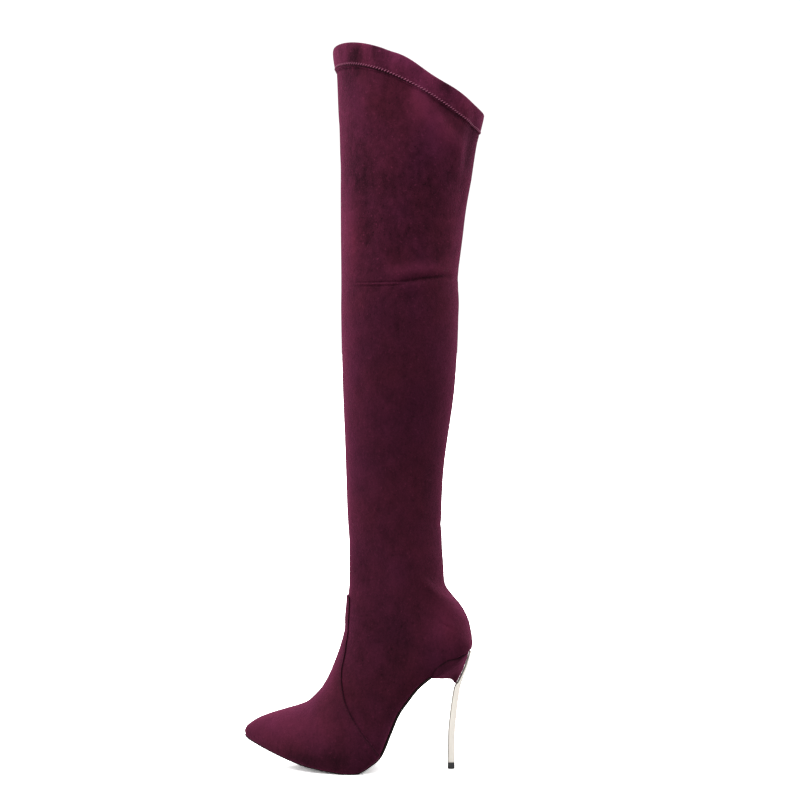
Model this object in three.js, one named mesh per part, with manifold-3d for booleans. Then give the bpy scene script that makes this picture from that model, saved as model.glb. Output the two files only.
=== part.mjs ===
// Over-the-knee boot with a tall pin heel, for the left foot.
// Millimetres, +Z up. The toe points along -X, +Y is the inner side of the foot,
// and the origin is on the floor under the ball of the foot.
import * as THREE from 'three';
import Module from 'manifold-3d';

const wasm = await Module();
wasm.setup();

// Lengths along the floor, measured from the ball
const toeLength = 104;
const heelLength = 123;
const toeShift = 8;
// Heights, measured from the floor
const heelHeight = 118;
const ankleRise = 132;
const legHeight = 718;
const collarBow = 15;
const bowLean = 0.74;
// Widths and depths of the last and the leg
const ballWidth = 77;
const heelWidth = 58;
const ankleWidth = 72;
const ankleDepth = 94;
const calfWidth = 110;
const calfDepth = 116;
const collarWidth = 132;
const collarDepth = 147.5;
// Thicknesses
const wall = 1.8;
const vampLeather = 1.2;
const bandLeather = 1.0;
const bandHeight = 21;
const insoleThickness = 2.5;
const soleThickness = 2.8;
const soleThinning = 0.1;
const soleWelt = 1.2;
const lastingMargin = 9;
const gap = 0.3;
// How far the sole's lowest line is ground flat where it stands
const ballGrind = 0.5;
// Heel: the pin's foot is pinInset ahead of the back of the heel
const pinInset = 21.5;
const pinDepth = 7.4;
const pinWidth = 8;
const liftHeight = 6.3;
const liftCorner = 1.4;
const cupDip = 3.2;
const cupTipShare = 0.717;
const cupTipDepth = 3;
const cupRoot = 7;
const cupFit = 0.98;
// A half width shrinks no further than this share when a form is made smaller
const leastShare = 0.15;
// The least half width of the sole and of the opening under the foot
const leastReach = 0.5;
// How far the opening's cutter reaches above and below the last's bottom
const openingReach = 4 * wall;

// The last stands on the sole, so all its heights start from here
const lastLift = soleThickness + gap - ballGrind;
const shaftRise = legHeight - lastLift - heelHeight - ankleRise;

// A height share: 0 at the ball, 1 at the heel seat, 2 at the narrow of the ankle, 3 at the collar
function heightAt(share) {
  const heelPart = heelHeight * Math.min(share, 1);
  const anklePart = ankleRise * Math.min(Math.max(share - 1, 0), 1);
  const shaftPart = shaftRise * Math.max(share - 2, 0);
  return lastLift + heelPart + anklePart + shaftPart;
}

// A length share: -1 at the toe tip, 0 at the ball, 1 at the back of the heel
function lengthAt(share) {
  return share < 0 ? share * toeLength : share * heelLength;
}

// A station share picks the named width: 0 ball, 1 heel, 2 ankle, 3 calf, 4 collar
const stationWidths = [ballWidth, heelWidth, ankleWidth, calfWidth, collarWidth];
const stationDepths = [heelLength, heelLength, ankleDepth, calfDepth, collarDepth];

function mixStations(sizes, station) {
  const low = Math.min(Math.floor(station), sizes.length - 2);
  return THREE.MathUtils.lerp(sizes[low], sizes[low + 1], station - low);
}

function table(columns, rows) {
  return rows.map((row) => Object.fromEntries(columns.map((name, i) => [name, row[i]])));
}

// Sections of the last and leg, from the toe tip round the heel and up to the collar. Each runs
// from a front point to a back point: frontX and frontZ, then backZ and back, which is a length
// share up to the heel seat and from there a share of the station's depth. outer and inner are
// the half widths to each side, wide is where along the section they lie, flat says how flat its
// bottom is, and soleOut and soleIn how far the flat reaches. turn is the toe's turn inward,
// bow the rise of the section's middle, and drop lowers it by so many band heights.
const sections = table(
  ['station', 'frontX', 'frontZ', 'back', 'backZ', 'outer', 'inner', 'wide', 'flat',
    'soleOut', 'soleIn', 'turn', 'bow', 'drop'],
  [
    [0, -1.012, 0.29, -1.012, 0.29, 0, 0, 0.6, 1, 0.84, 0.84, 1, 0, 0],
    [0, -0.999, 0.318, -0.997, 0.265, 0.11, 0.11, 0.6, 1, 0.84, 0.84, 0.98, 0, 0],
    [0, -0.968, 0.344, -0.964, 0.243, 0.2, 0.19, 0.6, 1, 0.84, 0.84, 0.95, 0, 0],
    [0, -0.887, 0.391, -0.872, 0.203, 0.35, 0.31, 0.61, 1, 0.84, 0.84, 0.86, 0, 0],
    [0, -0.77, 0.433, -0.745, 0.154, 0.52, 0.45, 0.64, 1, 0.84, 0.83, 0.72, 0, 0],
    [0, -0.637, 0.47, -0.592, 0.101, 0.675, 0.585, 0.68, 1, 0.84, 0.82, 0.56, 0, 0],
    [0, -0.501, 0.506, -0.438, 0.056, 0.81, 0.715, 0.72, 1, 0.84, 0.81, 0.4, 0, 0],
    [0, -0.401, 0.543, -0.297, 0.03, 0.905, 0.805, 0.76, 1, 0.84, 0.81, 0.28, 0, 0],
    [0, -0.319, 0.611, -0.166, 0.013, 0.965, 0.88, 0.79, 1, 0.85, 0.82, 0.18, 0, 0],
    [0, -0.261, 0.669, -0.043, 0, 1, 0.925, 0.81, 1, 0.85, 0.82, 0.1, 0, 0],
    [0.08, -0.202, 0.758, 0.065, 0.006, 1.02, 0.96, 0.81, 1, 0.84, 0.8, 0.05, 0, 0],
    [0.18, -0.153, 0.857, 0.156, 0.058, 1.015, 0.98, 0.8, 1, 0.8, 0.74, 0, 0, 0],
    [0.3, -0.11, 0.956, 0.24, 0.133, 1, 0.98, 0.79, 1, 0.76, 0.68, 0, 0, 0],
    [0.45, -0.07, 1.057, 0.307, 0.289, 0.98, 0.965, 0.78, 1, 0.72, 0.62, 0, 0, 0],
    [0.6, -0.04, 1.153, 0.378, 0.465, 0.965, 0.95, 0.77, 1, 0.7, 0.6, 0, 0, 0],
    [0.75, -0.038, 1.242, 0.461, 0.592, 0.975, 0.955, 0.76, 1, 0.7, 0.62, 0, 0, 0],
    [0.87, -0.028, 1.327, 0.542, 0.698, 0.995, 0.975, 0.76, 1, 0.74, 0.68, 0, 0, 0],
    [0.95, -0.02, 1.404, 0.634, 0.784, 1.015, 1, 0.76, 1, 0.8, 0.77, 0, 0, 0],
    [1, -0.01, 1.48, 0.741, 0.858, 1.035, 1.015, 0.77, 1, 0.85, 0.84, 0, 0, 0],
    [1, -0.008, 1.548, 0.843, 0.936, 1.035, 1.02, 0.78, 1, 0.87, 0.87, 0, 0, 0],
    [1, -0.007, 1.609, 0.933, 0.981, 1.04, 1.03, 0.79, 0.8, 0.87, 0.87, 0, 0, 0],
    [1, -0.007, 1.663, 0.986, 0.998, 1.05, 1.04, 0.79, 0.45, 0.85, 0.85, 0, 0, 0],
    [1, -0.008, 1.708, 1.003, 1.067, 1.06, 1.06, 0.78, 0.15, 0.8, 0.8, 0, 0, 0],
    [1.08, -0.008, 1.754, 1.011, 1.144, 1.055, 1.055, 0.76, 0, 0.8, 0.8, 0, 0, 0],
    [1.2, -0.008, 1.8, 1.012, 1.243, 1.045, 1.045, 0.73, 0, 0.8, 0.8, 0, 0, 0],
    [1.35, -0.01, 1.845, 0.99, 1.339, 1.03, 1.03, 0.69, 0, 0.8, 0.8, 0, 0, 0],
    [1.5, -0.014, 1.891, 0.949, 1.423, 1.015, 1.015, 0.65, 0, 0.8, 0.8, 0, 0, 0],
    [1.63, -0.019, 1.937, 0.931, 1.498, 1.005, 1.005, 0.61, 0, 0.8, 0.8, 0, 0, 0],
    [1.78, -0.023, 1.998, 0.958, 1.617, 1, 1, 0.57, 0, 0.8, 0.8, 0, 0, 0],
    [1.9, -0.029, 2.025, 0.983, 1.769, 1, 1, 0.54, 0, 0.8, 0.8, 0, 0, 0],
    [2, -0.034, 2.06, 1.002, 1.952, 1, 1, 0.52, 0, 0.8, 0.8, 0, 0, 0],
    [2.2, -0.046, 2.145, 0.999, 2.102, 0.96, 0.96, 0.5, 0, 0.8, 0.8, 0, 0, 0],
    [2.6, -0.07, 2.284, 1.04, 2.274, 1.01, 1.01, 0.5, 0, 0.8, 0.8, 0, 0, 0],
    [3, -0.084, 2.435, 1.007, 2.435, 0.99, 0.99, 0.5, 0, 0.8, 0.8, 0, 0, 0],
    [3.05, -0.083, 2.493, 0.991, 2.497, 1, 1, 0.5, 0, 0.8, 0.8, 0, 0, 0],
    [3.1, -0.083, 2.538, 0.978, 2.526, 1, 1, 0.5, 0, 0.8, 0.8, 0, 0, 0],
    [3.2, -0.085, 2.606, 0.99, 2.602, 1.005, 1.005, 0.5, 0, 0.8, 0.8, 0, 0, 0],
    [3.35, -0.087, 2.682, 0.989, 2.677, 1.01, 1.01, 0.5, 0, 0.8, 0.8, 0, 0, 0],
    [3.5, -0.091, 2.757, 1, 2.742, 1.015, 1.015, 0.5, 0, 0.8, 0.8, 0, 0.1, 0],
    [3.7, -0.1, 2.843, 0.994, 2.798, 1.01, 1.01, 0.5, 0, 0.8, 0.8, 0, 0.3, 0],
    [3.92, -0.124, 3, 0.981, 2.868, 1, 1, 0.5, 0, 0.8, 0.8, 0, 0.9, 1],
    [4, -0.144, 3, 1, 2.862, 1, 1, 0.5, 0, 0.8, 0.8, 0, 1, 0],
  ],
);

// Rows that the pieces start or end at
const toeTipRow = 0.12;
const soleToeRow = 0.8;
const openingToeRow = 3;
const openingHeelRow = 19;
const insoleToeRow = 1.5;
const insoleHeelRow = 20.4;
const breastRow = 17.1;
const heelCutRow = 14;
const heelSeatRow = 20.9;
const vampLastRow = 20;
const ankleRow = 30;
const calfRow = 33;
const hemRow = sections.length - 2;
const collarRow = sections.length - 1;
// Above the collar a cutter runs on by this many rows, each this high
const overRun = 1;
const overRunHeight = 30;
// How many rows of the sole a clearance of one millimetre takes at the heel's breast
const rowsPerMillimetre = 0.08;

// Points round half a section: front arc, corner and flat
const frontSteps = 9;
const cornerSteps = 4;
const flatSteps = 2;
const halfSteps = frontSteps + cornerSteps + flatSteps;
const frontPower = 2.15;

function catmullRom(a, b, c, d, t) {
  return 0.5 * (2 * b + (c - a) * t + (2 * a - 5 * b + 4 * c - d) * t * t
    + (3 * b - a - 3 * c + d) * t * t * t);
}

// One column of the section table at a fractional row
function column(name, row) {
  const last = sections.length - 1;
  const at = Math.min(Math.max(row, 0), last);
  const i = Math.min(Math.floor(at), last - 1);
  const pick = (k) => sections[Math.min(Math.max(k, 0), last)][name];
  return catmullRom(pick(i - 1), pick(i), pick(i + 1), pick(i + 2), at - i);
}

// The station at a row, kept on the scale of the named widths
function stationAt(row) {
  return THREE.MathUtils.clamp(column('station', row), 0, stationWidths.length - 1);
}

// Front and back point of the section at a row, in the side view
function spine(row) {
  const over = Math.max(row - collarRow, 0) * overRunHeight;
  const drop = column('drop', row) * bandHeight;
  const station = stationAt(row);
  const front = new THREE.Vector2(
    lengthAt(column('frontX', row)),
    heightAt(column('frontZ', row)) - drop + over,
  );
  const back = column('back', row);
  const depth = mixStations(stationDepths, Math.max(station, 1));
  const backX = station < 1 ? lengthAt(back) : front.x + back * depth;
  const rear = new THREE.Vector2(backX, heightAt(column('backZ', row)) - drop + over);
  return { front, rear };
}

// Outward normals of the front line and the bottom-and-back line at a row
function spineNormals(row) {
  const nudge = 0.05;
  const before = spine(Math.max(row - nudge, 0));
  const after = spine(Math.min(row + nudge, collarRow));
  const along = after.front.clone().sub(before.front).normalize();
  const under = after.rear.clone().sub(before.rear).normalize();
  return {
    front: new THREE.Vector2(-along.y, along.x),
    rear: new THREE.Vector2(under.y, -under.x),
  };
}

// All sizes of the section at a row, grown outward by offset
function sectionAt(row, offset) {
  const { front, rear } = spine(row);
  const normals = spineNormals(row);
  const half = mixStations(stationWidths, stationAt(row)) / 2;
  const grow = (share) => Math.max(share * half + offset, leastShare * share * half);
  return {
    front: front.addScaledVector(normals.front, offset),
    rear: rear.addScaledVector(normals.rear, offset),
    outer: grow(column('outer', row)),
    inner: grow(column('inner', row)),
    wide: column('wide', row),
    flat: THREE.MathUtils.clamp(column('flat', row), 0, 1),
    soleOut: column('soleOut', row),
    soleIn: column('soleIn', row),
    turn: column('turn', row) * toeShift,
    bow: column('bow', row) * collarBow,
  };
}

// Where step k of half a section lies: its share along the section and of the half width.
// The front is a superellipse quarter. The bottom blends a corner with a flat and a round end.
function halfOutline(k, section, reach) {
  if (k <= frontSteps) {
    const angle = (k / frontSteps) * Math.PI / 2;
    return {
      along: section.wide * (1 - Math.cos(angle) ** (2 / frontPower)),
      across: Math.sin(angle) ** (2 / frontPower),
    };
  }
  const below = k - frontSteps;
  const left = 1 - section.wide;
  const round = (below / (cornerSteps + flatSteps)) * Math.PI / 2;
  const corner = Math.min(below / cornerSteps, 1) * Math.PI / 2;
  const flatLeft = 1 - Math.max(below - cornerSteps, 0) / flatSteps;
  const squareAcross = below <= cornerSteps ? reach + (1 - reach) * Math.cos(corner)
    : reach * flatLeft;
  const along = THREE.MathUtils.lerp(Math.sin(round), Math.sin(corner), section.flat);
  return {
    along: section.wide + left * along,
    across: THREE.MathUtils.lerp(Math.cos(round), squareAcross, section.flat),
  };
}

// Point k of the whole ring: the front point first, then the outer side, the back, the inner side
function ringPoint(k, section) {
  const outerSide = k <= halfSteps;
  const step = outerSide ? k : 2 * halfSteps - k;
  const place = halfOutline(step, section, outerSide ? section.soleOut : section.soleIn);
  const reach = outerSide ? -section.outer : section.inner;
  const point = section.front.clone().lerp(section.rear, place.along);
  const rise = section.bow * Math.sin(Math.PI * place.along ** bowLean);
  return [point.x, section.turn + place.across * reach, point.y + rise];
}

// Turns vertex and triangle lists into a solid with its faces pointing out
function solidFrom(points, triangles) {
  let volume = 0;
  for (const [a, b, c] of triangles) {
    const [p, q, r] = [points[a], points[b], points[c]];
    volume += p[0] * (q[1] * r[2] - q[2] * r[1]) + p[1] * (q[2] * r[0] - q[0] * r[2])
      + p[2] * (q[0] * r[1] - q[1] * r[0]);
  }
  const faces = volume < 0 ? triangles.map(([a, b, c]) => [a, c, b]) : triangles;
  const mesh = new wasm.Mesh({
    numProp: 3,
    vertProperties: new Float32Array(points.flat()),
    triVerts: new Uint32Array(faces.flat()),
  });
  return new wasm.Manifold(mesh);
}

// Joins rings of equal count into a closed tube, its ends closed by strips across each ring
function loft(rings) {
  const count = rings[0].length;
  const points = rings.flat();
  const triangles = [];
  for (let r = 0; r + 1 < rings.length; r += 1) {
    for (let k = 0; k < count; k += 1) {
      const a = r * count + k;
      const b = r * count + ((k + 1) % count);
      triangles.push([a, b, b + count], [a, b + count, a + count]);
    }
  }
  const closeEnd = (base, forward) => {
    const strip = [];
    for (let k = 0; k < count / 2; k += 1) {
      const [a, b] = [base + k, base + k + 1];
      const [c, d] = [base + ((count - k) % count), base + count - k - 1];
      if (a !== c) strip.push([a, b, c]);
      if (b !== d) strip.push([b, d, c]);
    }
    triangles.push(...strip.map(([a, b, c]) => (forward ? [a, b, c] : [a, c, b])));
  };
  closeEnd(0, false);
  closeEnd((rings.length - 1) * count, true);
  return solidFrom(points, triangles);
}

// Rows of the mesh between two rows: one per table row, and two from ankle to calf
function meshRows(from, to) {
  const rows = [from];
  for (let row = Math.floor(from) + 1; row < to; row += 1) {
    rows.push(row);
    if (row > ankleRow && row < calfRow && row + 0.5 < to) rows.push(row + 0.5);
  }
  rows.push(to);
  return rows;
}

// The solid last and leg between two rows, grown outward by offset
function form(offset, from, to) {
  const rows = meshRows(Math.max(from, toeTipRow), to);
  const rings = rows.map((row) => {
    const section = sectionAt(row, offset);
    return Array.from({ length: 2 * halfSteps }, (_, k) => ringPoint(k, section));
  });
  return loft(rings);
}

// A flat band under or over the bottom line: offsets are measured outward from the last's
// bottom, and halfWidths gives its reach to the outer and the inner side at a row
function ribbon(from, to, topOffset, bottomOffset, halfWidths) {
  const stepsPerRow = 2;
  const steps = Math.ceil((to - from) * stepsPerRow);
  const rings = Array.from({ length: steps + 1 }, (_, i) => {
    const row = THREE.MathUtils.lerp(from, to, i / steps);
    const { rear } = spine(row);
    const normal = spineNormals(row).rear;
    const section = sectionAt(row, 0);
    const [outer, inner] = halfWidths(section);
    const corner = (offset, y) => {
      const point = rear.clone().addScaledVector(normal, offset(row));
      return [point.x, section.turn + y, point.y];
    };
    return [
      corner(topOffset, -outer),
      corner(bottomOffset, -outer),
      corner(bottomOffset, inner),
      corner(topOffset, inner),
    ];
  });
  return loft(rings);
}

// A box given by its lowest and highest corner
function block(low, high) {
  const size = high.clone().sub(low);
  const geometry = new THREE.BoxGeometry(size.x, size.y, size.z);
  geometry.translate(...low.clone().add(high).multiplyScalar(0.5).toArray());
  return solidFromGeometry(geometry);
}

// Shares the vertices of a three.js geometry, then makes it a solid
function solidFromGeometry(geometry) {
  const position = geometry.getAttribute('position');
  const points = [];
  const known = new Map();
  const shared = Array.from({ length: position.count }, (_, i) => {
    const point = [position.getX(i), position.getY(i), position.getZ(i)];
    const key = point.map((value) => value.toFixed(4)).join(' ');
    if (!known.has(key)) {
      known.set(key, points.length);
      points.push(point);
    }
    return known.get(key);
  });
  const order = geometry.index ? Array.from(geometry.index.array) : shared.map((_, i) => i);
  const triangles = [];
  for (let i = 0; i < order.length; i += 3) {
    triangles.push([shared[order[i]], shared[order[i + 1]], shared[order[i + 2]]]);
  }
  return solidFrom(points, triangles);
}

// Sole thickness thins from the ball to the heel breast
function soleDepth(row) {
  return soleThickness * (1 - soleThinning * Math.min(stationAt(row), 1));
}

// The last's flat bottom with a margin added to each side
const featherWidths = (margin) => (section) => [
  Math.max(section.soleOut * section.outer + margin, leastReach),
  Math.max(section.soleIn * section.inner + margin, leastReach),
];

// Side view of the vamp's seam, from the top of the instep down to the sole
const vampSeam = table(
  ['x', 'z'],
  [
    [-0.09, 1.43],
    [-0.02, 1.41],
    [-0.011, 1.37],
    [-0.018, 1.236],
    [-0.045, 1.016],
    [-0.081, 0.842],
    [-0.071, 0.697],
    [-0.023, 0.549],
    [0.085, 0.365],
    [0.181, 0.236],
    [0.261, 0.125],
    [0.34, 0],
  ],
);

// Everything on the toe's side of the seam, right across the boot
function toeSide() {
  const seam = vampSeam.map(({ x, z }) => new THREE.Vector2(lengthAt(x), heightAt(z)));
  const curve = new THREE.SplineCurve(seam);
  const seamSteps = 30;
  const outline = curve.getPoints(seamSteps);
  const beyond = 2 * toeLength;
  outline.push(new THREE.Vector2(outline[seamSteps].x, -beyond));
  outline.push(new THREE.Vector2(-beyond, -beyond));
  outline.push(new THREE.Vector2(-beyond, outline[0].y));
  const width = 2 * ballWidth;
  const geometry = new THREE.ExtrudeGeometry(new THREE.Shape(outline), {
    depth: width,
    bevelEnabled: false,
  });
  geometry.rotateX(Math.PI / 2);
  geometry.translate(0, width / 2, 0);
  return solidFromGeometry(geometry);
}

// Upper: one hollow wall, open at the collar and under the foot inside the lasting margin
function makeUpper() {
  const hollow = form(-wall, 0, collarRow + overRun);
  const opening = ribbon(
    openingToeRow,
    openingHeelRow,
    () => -openingReach,
    () => openingReach,
    featherWidths(-lastingMargin),
  );
  return form(0, 0, collarRow).subtract(hollow).subtract(opening);
}

// The sole before the last is cut out of it, grown by a clearance to cut its neighbours
function soleRibbon(clearance) {
  return ribbon(
    soleToeRow,
    breastRow + clearance * rowsPerMillimetre,
    () => -wall,
    (row) => gap + soleDepth(row) + clearance,
    featherWidths(soleWelt + clearance),
  );
}

function makeOutsole() {
  const beyond = 2 * heelLength;
  const floor = block(
    new THREE.Vector3(-beyond, -beyond, -beyond),
    new THREE.Vector3(beyond, beyond, 0),
  );
  return soleRibbon(0).subtract(form(gap, 0, ankleRow)).subtract(floor);
}

// Vamp: a second layer over the toe and instep, down to the sole's edge
function makeVamp() {
  const layer = form(gap + vampLeather, 0, vampLastRow).subtract(form(gap, 0, vampLastRow + 1));
  return layer.intersect(toeSide()).subtract(soleRibbon(gap));
}

// Collar band: a turned hem round the outside of the top edge
function makeCollarBand() {
  const outside = form(gap + bandLeather, hemRow, collarRow);
  return outside.subtract(form(gap, hemRow - 1, collarRow + overRun));
}

function makeInsole() {
  const slab = ribbon(
    insoleToeRow,
    insoleHeelRow,
    () => -(wall + gap + insoleThickness),
    () => -(wall + gap),
    (section) => [section.outer, section.inner],
  );
  return slab.intersect(form(-(wall + gap), 0, ankleRow));
}

// Metal heel pin. height is a share of the heel seat's height, lean a share of pinInset toward
// the back, depth and width are shares of the pin's own sizes. Above the cup's tip it is a
// narrow spine up the back of the heel.
const pinRows = table(
  ['height', 'lean', 'depth', 'width'],
  [
    [0.052, 0, 0.96, 1],
    [0.126, 0, 1, 0.98],
    [0.226, 0.002, 0.98, 0.96],
    [0.327, 0.018, 0.98, 0.94],
    [0.427, 0.073, 0.98, 0.92],
    [0.527, 0.135, 0.95, 0.9],
    [0.628, 0.218, 0.93, 0.89],
    [0.678, 0.27, 0.9, 0.88],
    [0.709, 0.33, 0.81, 0.87],
    [0.725, 0.39, 0.66, 0.86],
    [0.778, 0.514, 0.515, 0.8],
    [0.845, 0.672, 0.478, 0.74],
    [0.904, 0.774, 0.427, 0.68],
    [0.945, 0.842, 0.377, 0.63],
    [0.985, 0.895, 0.352, 0.59],
  ],
);

// The pin's row at a height, as front and back x and half width
function pinAt(z) {
  const share = z / heightAt(1);
  const last = pinRows.length - 1;
  let i = 0;
  while (i < last - 1 && pinRows[i + 1].height < share) i += 1;
  const [low, high] = [pinRows[i], pinRows[i + 1]];
  const t = THREE.MathUtils.clamp((share - low.height) / (high.height - low.height), 0, 1);
  const at = (name) => THREE.MathUtils.lerp(low[name], high[name], t);
  const centre = heelLength - pinInset + at('lean') * pinInset;
  const halfDepth = at('depth') * pinDepth / 2;
  return { centre, halfDepth, front: centre - halfDepth, halfWidth: at('width') * pinWidth / 2 };
}

// A ring in the plane of two side-view points and the Y axis, blunt where its powers are high
function superRing(fore, aft, halfWidth, forePower, aftPower, count) {
  return Array.from({ length: count }, (_, k) => {
    const angle = (k / count) * 2 * Math.PI;
    const power = 2 / (Math.cos(angle) >= 0 ? forePower : aftPower);
    const lengthwise = Math.sign(Math.cos(angle)) * Math.abs(Math.cos(angle)) ** power;
    const sideways = Math.sign(Math.sin(angle)) * Math.abs(Math.sin(angle)) ** power;
    const point = aft.clone().lerp(fore, (1 + lengthwise) / 2);
    return [point.x, -sideways * halfWidth, point.y];
  });
}

const pinSides = 16;
const pinPower = 2.6;
function makeHeelPin() {
  const heights = pinRows.slice(1).map((row) => row.height * heightAt(1));
  const rings = [liftHeight, ...heights].map((z) => {
    const { centre, halfDepth, halfWidth } = pinAt(z);
    const fore = new THREE.Vector2(centre - halfDepth, z);
    const aft = new THREE.Vector2(centre + halfDepth, z);
    return superRing(fore, aft, halfWidth, pinPower, pinPower, pinSides);
  });
  return loft(rings).subtract(form(gap, heelCutRow, ankleRow));
}

function makeTopLift() {
  const { centre, halfDepth, halfWidth } = pinAt(liftHeight);
  const corner = liftCorner;
  const shape = new THREE.Shape();
  shape.absarc(halfDepth - corner, halfWidth - corner, corner, 0, Math.PI / 2);
  shape.absarc(corner - halfDepth, halfWidth - corner, corner, Math.PI / 2, Math.PI);
  shape.absarc(corner - halfDepth, corner - halfWidth, corner, Math.PI, 1.5 * Math.PI);
  shape.absarc(halfDepth - corner, corner - halfWidth, corner, 1.5 * Math.PI, 2 * Math.PI);
  const geometry = new THREE.ExtrudeGeometry(shape, {
    depth: liftHeight,
    bevelEnabled: false,
    curveSegments: cornerSteps,
  });
  geometry.translate(centre, 0, 0);
  return solidFromGeometry(geometry);
}

// Covered heel cup. toTip runs along its underside from the breast to the tip, dip lifts that
// line by a share of cupDip, down runs down its back along the pin, width is a share of the
// cup's full half width.
const cupRows = table(
  ['toTip', 'dip', 'down', 'width'],
  [
    [0, 0, 0, 1],
    [0.1, 0.06, 0.1, 0.93],
    [0.25, 0.25, 0.25, 0.79],
    [0.45, 0.5, 0.42, 0.6],
    [0.65, 0.84, 0.6, 0.43],
    [0.82, 1, 0.78, 0.3],
    [0.93, 0.53, 0.92, 0.2],
    [1, 0, 1, 0.13],
  ],
);

const cupSides = 24;
const cupBreastPower = 5;
const cupBackPower = 2.3;
function makeHeelCup() {
  const breast = spine(breastRow).rear;
  const breastNormal = spineNormals(breastRow).rear;
  const start = breast.clone().addScaledVector(breastNormal, gap + soleThickness);
  const seat = spine(heelSeatRow).rear;
  const tipZ = cupTipShare * heightAt(1);
  const tip = new THREE.Vector2(pinAt(tipZ).front - gap - cupTipDepth / 2, tipZ);
  const fullWidth = cupFit * heelWidth / 2;
  const rings = cupRows.map((row) => {
    const fore = start.clone().lerp(tip, row.toTip);
    fore.y += row.dip * cupDip;
    const z = THREE.MathUtils.lerp(seat.y, tipZ, row.down);
    const aft = new THREE.Vector2(pinAt(z).front - gap, z);
    const halfWidth = row.width * fullWidth;
    return superRing(fore, aft, halfWidth, cupBreastPower, cupBackPower, cupSides);
  });
  const up = new THREE.Vector2(-(seat.y - start.y), seat.x - start.x).normalize();
  const root = rings[0].map(([x, y, z]) => [x + up.x * cupRoot, y, z + up.y * cupRoot]);
  const whole = loft([root, ...rings]);
  return whole.subtract(form(gap, heelCutRow, ankleRow)).subtract(soleRibbon(gap));
}

const suede = { color: 0x431823, roughness: 0.95, metalness: 0 };
const soleLeather = { color: 0x241713, roughness: 0.5, metalness: 0 };
const sockLeather = { color: 0x5a3a33, roughness: 0.7, metalness: 0 };
const plating = { color: 0xe9e3d2, roughness: 0.15, metalness: 1 };
const rubber = { color: 0x3c3c3c, roughness: 0.8, metalness: 0 };

function part(name, solid, finish) {
  const { vertProperties, triVerts } = solid.getMesh();
  const geometry = new THREE.BufferGeometry();
  geometry.setAttribute('position', new THREE.BufferAttribute(vertProperties, 3));
  geometry.setIndex(new THREE.BufferAttribute(triVerts, 1));
  geometry.computeVertexNormals();
  const mesh = new THREE.Mesh(geometry, new THREE.MeshStandardMaterial(finish));
  mesh.name = name;
  return mesh;
}

const boot = new THREE.Group();
boot.add(
  part('upper', makeUpper(), suede),
  part('vamp', makeVamp(), suede),
  part('collar_band', makeCollarBand(), suede),
  part('insole', makeInsole(), sockLeather),
  part('outsole', makeOutsole(), soleLeather),
  part('heel_cup', makeHeelCup(), suede),
  part('heel_pin', makeHeelPin(), plating),
  part('top_lift', makeTopLift(), rubber),
);

export default boot;
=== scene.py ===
import bmesh
import bpy
import numpy as np
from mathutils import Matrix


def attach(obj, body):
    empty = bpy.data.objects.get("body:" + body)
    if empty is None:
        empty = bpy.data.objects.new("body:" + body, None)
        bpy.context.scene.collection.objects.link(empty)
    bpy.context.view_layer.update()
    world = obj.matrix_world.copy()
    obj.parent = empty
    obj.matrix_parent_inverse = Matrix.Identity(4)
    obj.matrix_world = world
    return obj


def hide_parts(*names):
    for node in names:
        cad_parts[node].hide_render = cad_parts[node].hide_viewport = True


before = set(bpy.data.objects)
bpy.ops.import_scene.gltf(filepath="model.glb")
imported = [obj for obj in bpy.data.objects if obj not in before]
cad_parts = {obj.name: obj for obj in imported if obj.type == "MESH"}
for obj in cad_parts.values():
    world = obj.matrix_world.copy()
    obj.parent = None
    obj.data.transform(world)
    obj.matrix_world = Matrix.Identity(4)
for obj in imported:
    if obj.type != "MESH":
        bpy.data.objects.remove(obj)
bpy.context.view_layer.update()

# The last and leg. A boot is pulled over a wooden last and a leg form, so all but the heel's pin
# and tip take their shape from this one surface. Sizes are the solids' own, in millimetres: the
# toe points along -X, +Y is the inner side of the foot and z = 0 is the floor.
toe_length = 104
heel_length = 123
toe_shift = 8
heel_height = 118
ankle_rise = 132
leg_height = 718
collar_bow = 15
bow_lean = 0.74
heel_width = 58
ankle_depth = 94
calf_depth = 116
collar_depth = 147.5
station_widths = [77, heel_width, 72, 110, 132]
station_depths = [heel_length, heel_length, ankle_depth, calf_depth, collar_depth]
band_height = 21
gap = 0.3
sole_thickness = 2.8
last_lift = 2.6
shaft_rise = leg_height - last_lift - heel_height - ankle_rise
collar_row = 41
over_rise = 30
front_power = 2.15
half_steps = 15
front_steps = 9
bottom_steps = half_steps - front_steps
corner_steps = 4
least_share = 0.15
row_nudge = 0.05


def table(columns, rows):
    """A short table as one array for each named column."""
    return dict(zip(columns.split(), np.array(rows, float).T))


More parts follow.
